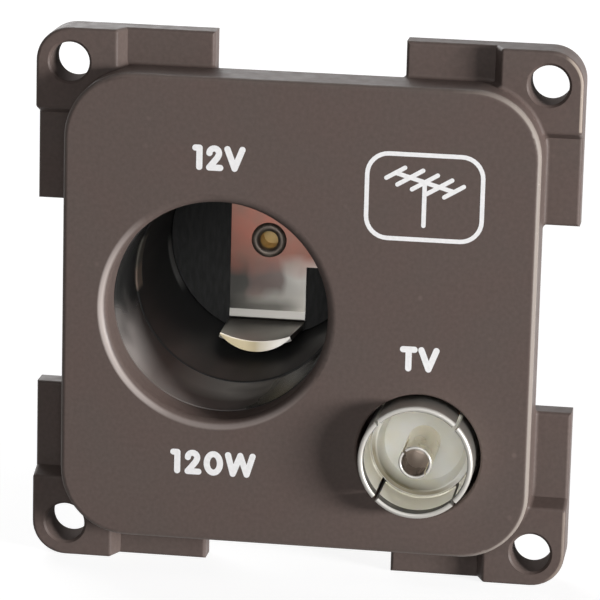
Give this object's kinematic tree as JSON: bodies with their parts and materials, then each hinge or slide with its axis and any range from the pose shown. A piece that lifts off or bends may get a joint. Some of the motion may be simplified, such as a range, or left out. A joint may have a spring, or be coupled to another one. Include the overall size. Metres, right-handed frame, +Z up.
{
  "type": "accessory power socket",
  "caption": "Square built-in vehicle module with a round 12 V accessory power socket, a coaxial aerial outlet and corner lugs for screws.",
  "frame": {"origin": "centre of the four screw holes, on the back plane of the lugs", "axes": "+Z up, the face looks along -Y, +X to the right seen from the front"},
  "size_m": [0.0526, 0.0488, 0.0526],
  "materials": {
    "face_plastic": "satin brown-grey moulding, finely speckled",
    "collar_black": "black glossy moulding",
    "barrel_black": "black glossy drawn cup",
    "black_insulator": "black pressed board",
    "clip_metal": "plated spring strip with a copper-red tint round the rivet",
    "rivet_brass": "bright brass, dulled rim",
    "terminal_brass": "rolled brass",
    "terminal_plated": "tin plated",
    "nickel_shell": "satin nickel plate",
    "ivory_insulator": "ivory, slightly translucent",
    "nickel_contact": "nickel plate",
    "plated_steel": "zinc plated"
  },
  "bodies": {
    "root": {"front_moulding": "face_plastic", "barrel_collar": "collar_black", "barrel_shell": "barrel_black", "floor_insulator": "black_insulator", "centre_clip": "clip_metal", "centre_rivet": "rivet_brass", "rear_insulator": "black_insulator", "positive_terminal": "terminal_brass", "negative_terminal": "terminal_plated", "negative_rivet": "terminal_plated", "aerial_shell": "nickel_shell", "aerial_front_insulator": "ivory_insulator", "aerial_centre_contact": "nickel_contact", "aerial_rear_insulator": "ivory_insulator", "aerial_lock_washer": "plated_steel", "aerial_nut": "nickel_shell"}
  },
  "joints": []
}
